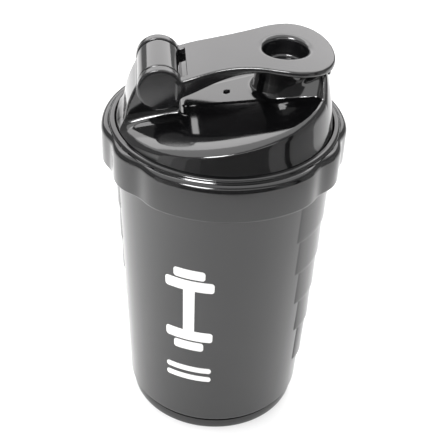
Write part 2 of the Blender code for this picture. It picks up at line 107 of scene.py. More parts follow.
# Thread
THREAD_STARTS = 4
LEAD = 16.0
THREAD_ARC = 100.0
THREAD_Z = 129.6
THREAD_HALF = 0.6
THREAD_BASE = 0.2
THREAD_FLANK = 0.45
THREAD_RUN_OUT = 4.0
CUP_THREAD_RISE = 1.5
COLLAR_THREAD_RISE = 2.2
THREAD_STEP = 0.3
NECK_START_Z = BODY_TOP_Z + 1.5
NECK_RINGS = 32
BORE_RINGS = 43

# Collar
COLLAR_BOTTOM_Z = COLLAR_LOW[2]
COLLAR_TOP_Z = COLLAR_HIGH[2]
LOBE_R = COLLAR_HIGH[0]
VALLEY_DEPTH = 1.7
VALLEY_SPREAD = 7.0
NARROW_LOBES = (90.0, 210.0, 330.0)
NARROW_LOBE_HALF = 12.5
COLLAR_BORE_R = 44.6
CATCH_BORE_R = 45.4
CATCH_Z = 137.4
WEB_Z = 139.9
RING_R = 46.6
RING_STEP_Z = 140.4
COLLAR_EDGE = 1.2
RING_ROUND = 1.6
SHOULDER_ROUND = 2.6
SHOULDER_DROP = 0.2
SIDE_LEAST_R = RING_R - 0.4
CATCH_CHAMFER = 0.6
BORE_CHAMFER = 0.5
BORE_THREAD_Z = COLLAR_BOTTOM_Z + 0.6

# Dome
DOME_BASE_R = 43.85
WALL_FOOT_Z = 141.4
WALL_LEAN = 0.085
WALL_CURVE = 0.0037
FOOT_FLARE = 0.6
FOOT_FLARE_H = 1.3
DOME_THICK = 2.0
DECK_CENTRE_Z = 152.3
DECK_SLOPE = 0.18
DECK_EDGE_DROP = 1.7
DECK_REACH = 41.5
DECK_CROWN_POWER = 10
CREST_Z = 166.8
CREST_IN_R = 21.0
CREST_OUT_R = 38.2
CREST_CURVE = 1.15
CREST_HALF = 12.2
CREST_SPREAD = 0.15
CREST_FLARE = 2.5
FLANK_SLOPE = 1.7
FLANK_TOP_BLEND = 1.6
FLANK_FOOT_BLEND = 0.5
CREST_FLARE_FROM_R = 36.0
CREST_FLARE_TO_R = 41.0
RIM_BLEND = 0.8
RIM_BLEND_SPOUT = 2.6
RIM_BLEND_SPOUT_X = 34.0
INSIDE_CORNER = 1.5
SEAT_Z = 137.9
SEAT_THICK = 1.6
SEAT_FILLET = 0.6
SNAP_BEAD_Z = SEAT_Z + 0.95
SNAP_BEAD_R = 0.9
SKIRT_R = GASKET_LOW_R - GAP
SKIRT_BORE_R = SKIRT_R - 1.6
SKIRT_BOTTOM_Z = DOME_LOW[2]
SKIRT_ROUND = 0.5
MOULD_ROUND = 0.3
COLLAR_ROOM_ROUND = 0.2
SPOUT_X = (SEAL_LOW[0] + SEAL_HIGH[0]) / 2
SPOUT_R = 12.0
SPOUT_DRAFT = 0.11
SPOUT_DRAFT_Z = 156.0
SPOUT_LIP_R = 11.4
SPOUT_BORE_R = 10.3
SPOUT_TOP_Z = 169.0
SPOUT_ROUND = 0.4
SPOUT_ROOT = 1.5
SPOUT_FILLET = 2.2
DRINK_WAY_BOTTOM_Z = 148.0
VENT_X = 0.3
VENT_R = 1.2
VENT_ROUND = 0.5
VENT_BOTTOM_Z = 145.0

# Hinge
HINGE_X = (PIN_LOW[0] + PIN_HIGH[0]) / 2
HINGE_Z = (PIN_LOW[2] + PIN_HIGH[2]) / 2
BARREL_R = 8.6
BARREL_HALF = 10.5
BARREL_ROUND = 0.8
BARREL_FILLET = 1.0
PIN_HALF = PIN_HIGH[1]
PIN_BORE_R = 2.5
EAR_R = 8.85
EAR_IN = BARREL_HALF + GAP
EAR_OUT = 14.9
EAR_ROUND = 0.9
EAR_FILLET = 0.7
SLOT_R = 11.2
SLOT_ROUND = 0.5
POST_FOOT_X = -40.3
POST_FOOT_Z = 143.0
POST_LEAN = 0.0145
POST_LEFT_SCALE = 0.95
POST_RIGHT_X = -19.3
POST_RIGHT_LEAN = 0.15
POST_RIGHT_Z = 150.0
POST_ROUND = 1.5
POST_FILLET = 4.0

# Flip arm
ARM_TOP_Z = ARM_HIGH[2]
ARM_TOP_X = 21.0
ARM_ARCH = 0.00453
ARM_THICK = 2.3
ARM_EDGE = 1.1
ARM_UNDER_EDGE = 0.6
ARM_START_X = -21.0
ARM_SKIRT = 7.0
ARM_SKIRT_WALL = 2.2
ARM_SKIRT_STEP = 0.8
ARM_SKIRT_END_X = 14.0
NECK_HALF_POINTS = ((-27.0, 14.9), (-21.0, 14.9), (-15.0, 14.9), (-4.0, 14.0), (4.0, 14.6), (11.0, 16.4),
                    (18.0, 19.1), (25.0, 20.6), (32.0, 20.6))
PADDLE_X = 25.0
PADDLE_HALF = 20.6
PADDLE_REACH = 16.8
PADDLE_POWER = 2.15
RIB_IN_R = 39.3
RIB_OUT_R = 40.4
RIB_ANGLE = 17.0
RIB_BOTTOM_Z = 166.5
RIB_MM_PER_DEGREE = 0.68
RIB_ROUND = 0.5
RIB_FILLET = 0.8
RIB_ROOT = 1.0
PLUG_R = 9.9
PLUG_BORE_R = 8.6
PLUG_BORE_Z = 164.0
PLUG_BOTTOM_Z = 158.7
PLUG_ROUND = 0.7
PLUG_FILLET = 1.0
PLUG_ROOT = 1.2
HOLLOW_ROUND = 1.5
LIP_ROUND = 2.6
LIP_REACH_R = PLUG_R + 2.5
FAR_INSIDE = -9.0
SEAL_GROOVE_R = 8.2
SEAL_GROOVE_HALF = 1.05
SEAL_GROOVE_ROUND = 0.2
SEAL_Z = (SEAL_LOW[2] + SEAL_HIGH[2]) / 2

# Print: a dumbbell over two stripes, each patch as (centre height, half width, half height)
PRINT_ANGLE = -111.0
PRINT_DUMBBELL = ((71.5, 2.6, 16.5), (91.5, 7.0, 2.4), (85.5, 11.0, 2.7), (57.5, 11.0, 2.7), (51.5, 7.0, 2.4))
PRINT_STRIPES = ((37.5, 11.0, 1.5), (32.5, 11.0, 1.5))
PRINT_CORNER = 1.4
PRINT_COLUMNS = 13
PRINT_RISE = 0.10
PRINT_SINK = 0.15

# How finely the skins and the nets are drawn
CUP_ROUND = 720
COLLAR_ROUND = 432
NET_STEP = 0.5
ARM_STEP = 0.4
SETTLE_ROUNDS = 4
SETTLE_PROBE = 0.02
SETTLE_SHARE = 0.3
LEAST_SLOPE = 0.05
CELL_CORNERS = [(i, j, k) for i in (0, 1) for j in (0, 1) for k in (0, 1)]


# ---------------------------------------------------------------- helpers

def add_mesh(name, points, faces, finish, body, replaced=(), sharp=30.0):
    """A piece from millimetre points that rides on a body."""
    mesh = bpy.data.meshes.new(name)
    mesh.from_pydata((np.asarray(points, float) * MM).tolist(), [], [tuple(f) for f in faces])
    mesh.validate()
    mesh.materials.append(finish)
    piece = bpy.data.objects.new(name, mesh)
    bpy.context.scene.collection.objects.link(piece)
    mesh.shade_smooth()
    mesh.set_sharp_from_angle(angle=math.radians(sharp))
    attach(piece, body)
    if replaced:
        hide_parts(*replaced)


def ring(radius, z, count):
    """One level ring; the radius is a number or a function of an array of angles in degrees."""
    angle = np.arange(count) * 360.0 / count
    r = radius(angle) if callable(radius) else np.full(count, float(radius))
    a = np.radians(angle)
    return np.stack([r * np.cos(a), r * np.sin(a), np.full(count, float(z))], -1)


def skin(rings, closed=False):
    """Points and faces over rings listed from the underside out, up and back down inside."""
    count = len(rings[0])
    points = np.concatenate(rings)
    faces = []
    spans = len(rings) if closed else len(rings) - 1
    for row in range(spans):
        low = row * count
        high = (row + 1) % len(rings) * count
        for i in range(count):
            j = (i + 1) % count
            faces.append((low + i, low + j, high + j, high + i))
    if not closed:
        faces.append(tuple(reversed(range(count))))
        faces.append(tuple(len(points) - count + i for i in range(count)))
    return points, faces


def quarter_turn(first, step):
    """Shares of a rounding's radius at each step of a quarter turn: inwards, and away from the end."""
    turns = [math.radians(d) for d in range(first, 91, step)]
    return [(1 - math.sin(a), 1 - math.cos(a)) for a in turns]


def turn_gap(angle, centre):
    """Degrees between two angles, the short way round."""
    return np.abs((angle - centre + 180.0) % 360.0 - 180.0)


def smooth(low, high, value):
    """Eases from 0 at low to 1 at high."""
    t = np.clip((value - low) / (high - low), 0.0, 1.0)
    return t * t * (3.0 - 2.0 * t)


def blend_min(a, b, k):
    """The union of two fields, with a fillet of about k where they meet."""
    h = np.clip(0.5 + 0.5 * (b - a) / k, 0.0, 1.0)
    return b + (a - b) * h - k * h * (1.0 - h)


def blend_max(a, b, k):
    """What two fields share, with the edge between them rounded by about k."""
    return -blend_min(-a, -b, k)


def spline(pairs, value):
    """A smooth curve through (place, size) pairs, with slopes from the neighbours."""
    xs = np.array([p[0] for p in pairs])
    ys = np.array([p[1] for p in pairs])
    slopes = np.gradient(ys, xs)
    value = np.clip(value, xs[0], xs[-1])
    i = np.clip(np.searchsorted(xs, value) - 1, 0, len(xs) - 2)
    width = xs[i + 1] - xs[i]
    t = (value - xs[i]) / width
    return ((2 * t ** 3 - 3 * t ** 2 + 1) * ys[i] + (t ** 3 - 2 * t ** 2 + t) * width * slopes[i]
            + (3 * t ** 2 - 2 * t ** 3) * ys[i + 1] + (t ** 3 - t ** 2) * width * slopes[i + 1])


def sampled(field, axes):
    """The field's value at every point of the grid."""
    values = np.empty([len(a) for a in axes], np.float32)
    grid_x, grid_y = np.meshgrid(axes[0], axes[1], indexing="ij")
    for k, z in enumerate(axes[2]):
        values[:, :, k] = field(grid_x, grid_y, np.full_like(grid_x, z))
    return values


def crossed_cells(inside):
    """The grid cells that the surface passes through, in rows of three indices."""
    shape = [n - 1 for n in inside.shape]
    count = np.zeros(shape, np.int8)
    for i, j, k in CELL_CORNERS:
        count += inside[i:i + shape[0], j:j + shape[1], k:k + shape[2]]
    return np.argwhere((count > 0) & (count < 8))


def cell_points(values, cells):
    """One point in each crossed cell: the mean of the places where the surface cuts the cell's edges."""
    total = np.zeros((len(cells), 3))
    crossings = np.zeros(len(cells))
    for a in CELL_CORNERS:
        for axis in range(3):
            if a[axis]:
                continue
            b = list(a)
            b[axis] = 1
            va = values[tuple((cells + a).T)].astype(float)
            vb = values[tuple((cells + b).T)].astype(float)
            cross = (va < 0) != (vb < 0)
            share = np.where(cross, va / np.where(cross, va - vb, 1.0), 0.0)
            point = np.tile(np.array(a, float), (len(cells), 1))
            point[:, axis] = share
            total += point * cross[:, None]
            crossings += cross
    return cells + total / crossings[:, None]


def edge_quads(inside, number, axis):
    """A quad round each grid edge along an axis that the surface cuts, facing outwards."""
    one, two = [(1, 2), (2, 0), (0, 1)][axis]
    first = np.take(inside, range(0, inside.shape[axis] - 1), axis)
    second = np.take(inside, range(1, inside.shape[axis]), axis)
    edges = np.argwhere(first != second)
    edges = edges[(edges[:, one] > 0) & (edges[:, two] > 0)]
    edges = edges[(edges[:, one] < number.shape[one]) & (edges[:, two] < number.shape[two])]
    quads = []
    for da, db in ((1, 1), (0, 1), (0, 0), (1, 0)):
        cell = edges.copy()
        cell[:, one] -= da
        cell[:, two] -= db
        quads.append(number[tuple(cell.T)])
    quads = np.stack(quads, -1)
    leaves = first[tuple(edges.T)]
    quads[~leaves] = quads[~leaves][:, ::-1]
    return quads


def net(field, low, high, step):
    """The closed surface where field(x, y, z) is zero, as a net of quads through a grid."""
    axes = [np.arange(a - 2 * step, b + 3 * step, step) for a, b in zip(low, high)]
    values = sampled(field, axes)
    inside = values < 0
    cells = crossed_cells(inside)
    number = np.full([n - 1 for n in values.shape], -1, np.int64)
    number[tuple(cells.T)] = np.arange(len(cells))
    origin = np.array([a[0] for a in axes])
    points = origin + step * cell_points(values, cells)
    faces = np.concatenate([edge_quads(inside, number, axis) for axis in range(3)])
    return settle(field, points, step), faces


def settle(field, points, step):
    """Moves the net's points onto the surface along the field's slope, a short way at a time."""
    d = SETTLE_PROBE
    for _ in range(SETTLE_ROUNDS):
        x, y, z = points.T
        here = field(x, y, z)
        slope_x = field(x + d, y, z) - field(x - d, y, z)
        slope_y = field(x, y + d, z) - field(x, y - d, z)
        slope_z = field(x, y, z + d) - field(x, y, z - d)
        slope = np.stack([slope_x, slope_y, slope_z], -1) / (2 * d)
        size = np.maximum((slope ** 2).sum(-1), LEAST_SLOPE)
        move = -slope * (here / size)[:, None]
        length = np.linalg.norm(move, axis=1)
        move *= np.minimum(1.0, SETTLE_SHARE * step / np.maximum(length, 1e-9))[:, None]
        points = points + move
    return points


# ---------------------------------------------------------------- materials

CLOUD_SCALE = 60.0
CLOUD_RANGE = (0.35, 0.7)
SMEAR_SCALE = 140.0
RELIEF_DEPTH = 0.0001
PLASTIC_IOR = 1.75
BLUE_CAST = 1.1


def shader_nodes(name):
    made = bpy.data.materials.new(name)
    made.use_nodes = True
    tree = made.node_tree
    return made, tree, tree.nodes["Principled BSDF"]


def link(tree, source, output, target, socket):
    tree.links.new(source.outputs[output], target.inputs[socket])


def noise(tree, coordinate, scale, detail=4.0, roughness=0.55):
    made = tree.nodes.new("ShaderNodeTexNoise")
    made.inputs["Scale"].default_value = scale
    made.inputs["Detail"].default_value = detail
    made.inputs["Roughness"].default_value = roughness
    link(tree, coordinate, "Object", made, "Vector")
    return made


def ramp(tree, source, low, high, dark, light):
    """Spreads a 0 to 1 value over a range of greys or colours."""
    made = tree.nodes.new("ShaderNodeValToRGB")
    made.color_ramp.elements[0].position = low
    made.color_ramp.elements[0].color = (*dark, 1.0)
    made.color_ramp.elements[1].position = high
    made.color_ramp.elements[1].color = (*light, 1.0)
    link(tree, source, 0, made, "Fac")
    return made


def spread(tree, source, low, high):
    """Spreads a 0 to 1 value over a range of numbers."""
    made = tree.nodes.new("ShaderNodeMapRange")
    made.inputs["To Min"].default_value = low
    made.inputs["To Max"].default_value = high
    link(tree, source, 0, made, "Value")
    return made


def moulded(name, dark, light, rough_low, rough_high, grain, bump, ior=PLASTIC_IOR):
    """Moulded plastic: faint cloudy colour, uneven gloss, and a fine skin texture."""
    made, tree, shader = shader_nodes(name)
    place = tree.nodes.new("ShaderNodeTexCoord")
    cloud = noise(tree, place, CLOUD_SCALE)
    colour = ramp(tree, cloud, *CLOUD_RANGE, dark, light)
    link(tree, colour, "Color", shader, "Base Color")
    smear = noise(tree, place, SMEAR_SCALE, 6.0, 0.65)
    gloss = spread(tree, smear, rough_low, rough_high)
    link(tree, gloss, "Result", shader, "Roughness")
    skin_grain = noise(tree, place, grain, 3.0)
    relief = tree.nodes.new("ShaderNodeBump")
    relief.inputs["Strength"].default_value = bump
    relief.inputs["Distance"].default_value = RELIEF_DEPTH
    link(tree, skin_grain, 0, relief, "Height")
    link(tree, relief, "Normal", shader, "Normal")
    shader.inputs["IOR"].default_value = ior
    return made


def grey(level):
    """A grey with a faint blue cast."""
    return (level, level, level * BLUE_CAST)


def make_materials():
    """Each finish: its darkest and lightest colour, gloss range, grain size, bump and, last, its IOR."""
    return {
        "cup": moulded("cup_satin_black", grey(0.003), grey(0.005), 0.12, 0.22, 2600.0, 0.05, 1.67),
        "collar": moulded("collar_black", grey(0.002), grey(0.004), 0.08, 0.16, 2200.0, 0.03, 1.62),
        "lid": moulded("lid_gloss_black", grey(0.002), grey(0.0035), 0.05, 0.12, 1800.0, 0.02),
        "arm": moulded("arm_gloss_black", grey(0.0025), grey(0.009), 0.10, 0.22, 1800.0, 0.03),
        "inner": moulded("inner_dark_plastic", grey(0.030), grey(0.045), 0.35, 0.5, 2200.0, 0.1, 1.5),
        "rubber": moulded("seal_silicone", grey(0.10), grey(0.14), 0.5, 0.7, 3000.0, 0.2, 1.45),
        "print": moulded("print_white", (0.80, 0.80, 0.79), (0.86, 0.86, 0.85), 0.35, 0.5, 2400.0, 0.08, 1.5),
    }


# ---------------------------------------------------------------- cup

def body_radius(z):
    rise = (z - BODY_BOTTOM_Z) / (BODY_TOP_Z - BODY_BOTTOM_Z)
    return BODY_BOTTOM_R + (BODY_TOP_R - BODY_BOTTOM_R) * rise


def grip_swell(angle, half_width):
    """The share of a grip's rise at each angle: a crease at its edge, then a full curve."""
    swell = np.zeros_like(angle)
    for centre in GRIP_CENTRES:
        x = turn_gap(angle, centre) / half_width
        swell = np.maximum(swell, np.clip(1.0 - x * x, 0.0, 1.0) ** GRIP_FULLNESS)
    return swell


def grip_ring(z, half_width, rise):
    """One ring of the body with its grips standing proud."""
    return ring(lambda angle: body_radius(z) + rise * grip_swell(angle, half_width), z, CUP_ROUND)


def grip_rings():
    """Five swellings from the lowest ledge up, each with a rounded lower edge and a flat ledge below it."""
    rings = []
    tops = (BODY_TOP_Z - 0.6,) + tuple(z - LEDGE_DROP for z in GRIP_LEDGES_Z[:-1])
    for i in reversed(range(len(GRIP_LEDGES_Z))):
        ledge_z, top_z, half_width = GRIP_LEDGES_Z[i], tops[i], GRIP_HALF_WIDTHS[i]
        last = i == len(GRIP_LEDGES_Z) - 1
        full = LAST_LEDGE_RISE if last else GRIP_LEDGE_RISE
        if last:
            rings.append(grip_ring(ledge_z - LEDGE_DROP, half_width, 0.0))
        for turn in LEDGE_TURNS:
            a = math.radians(turn)
            rings.append(grip_ring(ledge_z + LEDGE_ROUND * (1 - math.sin(a)), half_width,
                                   full - LEDGE_ROUND * (1 - math.cos(a))))
        for share in GRIP_SHARES:
            z = ledge_z + LEDGE_ROUND + (top_z - ledge_z - LEDGE_ROUND) * share
            rings.append(grip_ring(z, half_width, full + (GRIP_TOP_RISE - full) * share))
    return rings


def ridge(angle, z, z_start):
    """How much of a thread's full height stands at each angle and height, 0 to 1."""
    share = np.zeros_like(angle)
    for start in range(THREAD_STARTS):
        turn = (angle - 360.0 * start / THREAD_STARTS) % 360.0
        middle = z_start + LEAD * turn / 360.0
        across = np.clip((THREAD_HALF + THREAD_BASE - np.abs(z - middle)) / THREAD_FLANK, 0.0, 1.0)
        from_end = np.minimum(turn, THREAD_ARC - turn)
        ends = np.clip(from_end / THREAD_RUN_OUT, 0.0, 1.0)
        share = np.maximum(share, smooth(0.0, 1.0, across) * ends)
    return share


def threaded(base_r, rise, z, z_start, count):
    """One ring of a threaded wall."""
    return ring(lambda angle: base_r + rise * ridge(angle, z, z_start), z, count)


def cup_profile(profile):
    """Round rings of the cup from (radius, height) pairs."""
    return [ring(r, z, CUP_ROUND) for r, z in profile]


def body_edge():
    """The rounded lower edge of the body, from the foot's groove outwards."""
    return cup_profile([(BODY_BOTTOM_R - BODY_ROUND * inwards, BODY_LIP_Z + BODY_ROUND * up)
                        for inwards, up in quarter_turn(10, 10)])


def cup_neck():
    """The shoulder over the body and the threaded wall of the neck."""
    heights = [NECK_START_Z + THREAD_STEP * i for i in range(NECK_RINGS)]
    thread = [threaded(NECK_R, CUP_THREAD_RISE, z, THREAD_Z, CUP_ROUND) for z in heights]
    return cup_profile(SHOULDER_PROFILE) + thread


def cup_inside():
    """The bore from the neck down to the floor, one wall inside the body."""
    wall = [(body_radius(z) - CUP_WALL, z) for z in (*range(110, 12, -10), FLOOR_CURVE_TOP_Z)]
    return cup_profile([*INSIDE_SHOULDER, *wall, *FLOOR_CURVE])


def make_cup(finish):
    outside = cup_profile(FOOT_PROFILE) + body_edge() + grip_rings() + cup_neck()
    points, faces = skin(outside + cup_profile(RIM_PROFILE) + cup_inside())
    add_mesh("cup_shell", points, faces, finish, "cup", ("cup_body",))


# ---------------------------------------------------------------- print

def print_patch(height, half_width, half_height):
    """A thin rounded rectangle of ink that follows the body: rows of points, outside then inside."""
    columns = np.linspace(-1.0, 1.0, PRINT_COLUMNS)
    bend = PRINT_CORNER * (1.0 - np.cos(np.radians(np.arange(0, 91, 15))))
    rows = np.concatenate([-half_height + bend, half_height - bend[::-1]])
    points = []
    for lift in (PRINT_RISE, -PRINT_SINK):
        for row in rows:
            into = max(PRINT_CORNER - (half_height - abs(row)), 0.0)
            inset = PRINT_CORNER - math.sqrt(max(PRINT_CORNER ** 2 - into ** 2, 0.0))
            z = height + row
            r = body_radius(z) + lift
            turn = math.radians(PRINT_ANGLE) + columns * (half_width - inset) / BODY_TOP_R
            points.append(np.stack([r * np.cos(turn), r * np.sin(turn), np.full(PRINT_COLUMNS, z)], -1))
    return points


def patch_faces(rows, start):
    """Both faces of a patch and the walls round its edge, for points that begin at start."""
    def at(side, row, column):
        return start + (side * rows + row) * PRINT_COLUMNS + column

    last = PRINT_COLUMNS - 1
    faces = []
    for row in range(rows - 1):
        for column in range(last):
            quad = [(row, column), (row, column + 1), (row + 1, column + 1), (row + 1, column)]
            faces.append(tuple(at(0, *corner) for corner in quad))
            faces.append(tuple(at(1, *corner) for corner in reversed(quad)))
        for column, flip in ((0, False), (last, True)):
            side = (at(0, row, column), at(0, row + 1, column), at(1, row + 1, column), at(1, row, column))
            faces.append(side[::-1] if flip else side)
    for column in range(last):
        for row, flip in ((0, True), (rows - 1, False)):
            side = (at(0, row, column), at(0, row, column + 1), at(1, row, column + 1), at(1, row, column))
            faces.append(side[::-1] if flip else side)
    return faces


def make_print(finish):
    """The ink lies on the cup as thin closed patches, one piece in all."""
    points, faces = [], []
    for spec in PRINT_DUMBBELL + PRINT_STRIPES:
        patch = print_patch(*spec)
        faces += patch_faces(len(patch) // 2, len(points) * PRINT_COLUMNS)
        points += patch
    add_mesh("front_print", np.concatenate(points), faces, finish, "cup")


# ---------------------------------------------------------------- collar

def lobe_radius(angle):
    """Outer radius of the collar: three wide lobes and three narrow ones between pairs of valleys."""
    dip = np.zeros_like(angle)
    for centre in NARROW_LOBES:
        for side in (-NARROW_LOBE_HALF, NARROW_LOBE_HALF):
            dip += np.exp(-(turn_gap(angle, centre + side) / VALLEY_SPREAD) ** 2)
    return LOBE_R - VALLEY_DEPTH * dip


def collar_ring(r, z):
    return ring(r, z, COLLAR_ROUND)


def lobed_ring(inset, z):
    """A ring of the lobed side, drawn in by the inset but never inside the round ring above."""
    return ring(lambda angle: np.maximum(lobe_radius(angle) - inset, SIDE_LEAST_R), z, COLLAR_ROUND)


def collar_outside():
    """From the gap beside the dome, over the round ring and the lobed side, down to the lower edge."""
    bore_r = DOME_BASE_R + GAP
    rings = [collar_ring(bore_r, COLLAR_TOP_Z - 0.1), collar_ring(bore_r + 0.1, COLLAR_TOP_Z)]
    for inwards, down in quarter_turn(0, 10):
        rings.append(collar_ring(RING_R - RING_ROUND * inwards, COLLAR_TOP_Z - RING_ROUND * down))
    rings.append(collar_ring(RING_R, RING_STEP_Z + SHOULDER_DROP))
    shoulder_z = RING_STEP_Z - SHOULDER_DROP
    for inwards, down in quarter_turn(0, 10):
        rings.append(lobed_ring(SHOULDER_ROUND * inwards, shoulder_z - SHOULDER_ROUND * down))
    for up, inwards in quarter_turn(0, 15):
        rings.append(lobed_ring(COLLAR_EDGE * inwards, COLLAR_BOTTOM_Z + COLLAR_EDGE * up))
    return rings


def collar_inside():
    """The threaded bore and, above it, the groove that the dome's bead snaps into."""
    heights = [BORE_THREAD_Z + THREAD_STEP * i for i in range(BORE_RINGS)]
    start_z = THREAD_Z - LEAD / THREAD_STARTS / 2
    rings = [collar_ring(COLLAR_BORE_R + BORE_CHAMFER, COLLAR_BOTTOM_Z)]
    rings += [threaded(COLLAR_BORE_R, -COLLAR_THREAD_RISE, z, start_z, COLLAR_ROUND) for z in heights]
    catch = ((COLLAR_BORE_R, CATCH_Z), (CATCH_BORE_R, CATCH_Z + CATCH_CHAMFER), (CATCH_BORE_R, WEB_Z),
             (DOME_BASE_R + GAP, WEB_Z))
    return rings + [collar_ring(r, z) for r, z in catch]


def make_collar(finish):
    points, faces = skin(collar_outside() + collar_inside(), closed=True)
    faces = [tuple(reversed(face)) for face in faces]
    add_mesh("collar_shell", points, faces, finish, "collar", ("screw_collar",))


# ---------------------------------------------------------------- dome

def wall_radius(z):
    """Outer radius of the dome's wall: a short flare at its foot, then a lean that grows upwards."""
    rise = np.maximum(z - WALL_FOOT_Z, 0.0)
    flare = FOOT_FLARE * (1.0 - np.exp(-rise / FOOT_FLARE_H))
    return DOME_BASE_R - flare - WALL_LEAN * rise - WALL_CURVE * rise ** 2


def deck_top(x, y):
    """Height of the deck: sloping, crowned, and rising in a ramp from the spout to the crest."""
    r = np.hypot(x, y)
    low = DECK_CENTRE_Z + DECK_SLOPE * x - DECK_EDGE_DROP * (r / DECK_REACH) ** DECK_CROWN_POWER
    flare = CREST_FLARE * smooth(CREST_FLARE_FROM_R, CREST_FLARE_TO_R, r)
    half = CREST_HALF + CREST_SPREAD * (x - SPOUT_X) + flare
    climb = np.clip((r - CREST_IN_R) / (CREST_OUT_R - CREST_IN_R), 0.0, 1.0) ** CREST_CURVE * (x > 0)
    stand = blend_min((CREST_Z - low) * climb, FLANK_SLOPE * (half - np.abs(y)), FLANK_TOP_BLEND)
    return low + blend_max(stand, 0.0, FLANK_FOOT_BLEND)


def ring_box(r, z, r_low, r_high, z_low, z_high, k):
    """Field of a ring of rectangular section with edges rounded by k."""
    across = np.maximum(r_low - r, r - r_high)
    along = np.maximum(z_low - z, z - z_high)
    return blend_max(across, along, k)


def lid_shell(x, y, z):
    """The dome's wall and deck, hollow below."""
    step = 0.05
    wall = np.hypot(x, y) - wall_radius(z)
    top = deck_top(x, y)
    lean_x = (deck_top(x + step, y) - top) / step
    lean_y = (deck_top(x, y + step) - top) / step
    deck = (z - top) / np.sqrt(1.0 + lean_x ** 2 + lean_y ** 2)
    rim = RIM_BLEND + (RIM_BLEND_SPOUT - RIM_BLEND) * smooth(0.0, RIM_BLEND_SPOUT_X, x)
    outer = blend_max(wall, deck, rim)
    inner = blend_max(wall + DOME_THICK, deck + DOME_THICK, INSIDE_CORNER)
    return blend_max(np.maximum(outer, -inner), SEAT_Z - z, MOULD_ROUND)


def lid_body(x, y, z):
    """The shell with its seat, its snap bead and its inner skirt."""
    r = np.hypot(x, y)
    seat = ring_box(r, z, SKIRT_BORE_R, DOME_BASE_R, SEAT_Z, SEAT_Z + SEAT_THICK, MOULD_ROUND)
    skirt = ring_box(r, z, SKIRT_BORE_R, SKIRT_R, SKIRT_BOTTOM_Z, SEAT_Z + 1.0, SKIRT_ROUND)
    bead = np.hypot(r - DOME_BASE_R, z - SNAP_BEAD_Z) - SNAP_BEAD_R
    return blend_min(blend_min(lid_shell(x, y, z), np.minimum(seat, skirt), SEAT_FILLET), bead, MOULD_ROUND)


def hinge_post(x, y, z):
    """The post under the barrel: its left face curves out to the rim, its right face leans."""
    left = POST_FOOT_X + POST_LEAN * np.maximum(z - POST_FOOT_Z, 0.0) ** 2 - x
    right = x - POST_RIGHT_X - POST_RIGHT_LEAN * (z - POST_RIGHT_Z)
    post = blend_max(left * POST_LEFT_SCALE, right, POST_ROUND)
    post = blend_max(post, np.abs(y) - BARREL_HALF, BARREL_ROUND)
    return np.maximum(np.maximum(post, z - HINGE_Z), POST_FOOT_Z - 1.0 - z)


def spout_tube(x, y, z):
    """The tube tapers upwards and keeps a wall of even thickness at its lip."""
    tube_r = np.maximum(SPOUT_R - SPOUT_DRAFT * (z - SPOUT_DRAFT_Z), SPOUT_LIP_R)
    tube = blend_max(np.hypot(x - SPOUT_X, y) - tube_r, z - SPOUT_TOP_Z, SPOUT_ROUND)
    return np.maximum(tube, deck_top(x, y) - SPOUT_ROOT - z)


def dome_field(x, y, z):
    """Everything of the dome's moulding, less its bores and the room that the collar needs."""
    hinge_r = np.hypot(x - HINGE_X, z - HINGE_Z)
    barrel = blend_max(hinge_r - BARREL_R, np.abs(y) - BARREL_HALF, BARREL_ROUND)
    solid = blend_min(lid_body(x, y, z), hinge_post(x, y, z), POST_FILLET)
    solid = blend_min(solid, barrel, BARREL_FILLET)
    solid = blend_min(solid, spout_tube(x, y, z), SPOUT_FILLET)
    drink_way = np.maximum(np.hypot(x - SPOUT_X, y) - SPOUT_BORE_R, DRINK_WAY_BOTTOM_Z - z)
    solid = blend_max(solid, -drink_way, SPOUT_ROUND)
    vent = np.maximum(np.hypot(x - VENT_X, y) - VENT_R, VENT_BOTTOM_Z - z)
    solid = blend_max(solid, -vent, VENT_ROUND)
    room_low, room_high = WEB_Z - GAP / 2, COLLAR_TOP_Z + GAP / 2
    collar_room = ring_box(np.hypot(x, y), z, DOME_BASE_R, LOBE_R, room_low, room_high, COLLAR_ROOM_ROUND)
    solid = np.maximum(solid, -collar_room)
    return np.maximum(solid, PIN_BORE_R - hinge_r)


def make_dome(finish):
    points, faces = net(dome_field, DOME_LOW, DOME_HIGH, NET_STEP)
    add_mesh("dome_shell", points, faces, finish, "lid", ("pour_dome",), sharp=50.0)


# ---------------------------------------------------------------- flip arm

def arm_outline():
    """The arm seen from above, as points around its edge."""
    neck_x = np.arange(ARM_START_X - 4.0, PADDLE_X, 1.5)
    neck = [(x, float(spline(NECK_HALF_POINTS, x))) for x in neck_x]
    paddle = []
    for d in range(0, 91, 3):
        x = PADDLE_X + PADDLE_REACH * math.sin(math.radians(d))
        reach = min((x - PADDLE_X) / PADDLE_REACH, 1.0)
        paddle.append((x, PADDLE_HALF * (1.0 - reach ** PADDLE_POWER) ** (1.0 / PADDLE_POWER)))
    near = neck + paddle
    return np.array(near + [(x, -y) for x, y in reversed(near[:-1])])


OUTLINE = arm_outline()


def outline_distance(x, y):
    """Distance to the arm's outline in plan, negative inside."""
    flat_x, flat_y = np.ravel(x), np.ravel(y)
    best = np.full(flat_x.shape, 1e9)
    inside = np.zeros(flat_x.shape, bool)
    for (ax, ay), (bx, by) in zip(OUTLINE, np.roll(OUTLINE, -1, axis=0)):
        dx, dy = bx - ax, by - ay
        t = np.clip(((flat_x - ax) * dx + (flat_y - ay) * dy) / (dx * dx + dy * dy), 0.0, 1.0)
        best = np.minimum(best, (flat_x - ax - t * dx) ** 2 + (flat_y - ay - t * dy) ** 2)
        if ay != by:
            inside ^= ((ay > flat_y) != (by > flat_y)) & (flat_x < ax + dx * (flat_y - ay) / dy)
    return (np.sqrt(best) * np.where(inside, -1.0, 1.0)).reshape(np.shape(x))


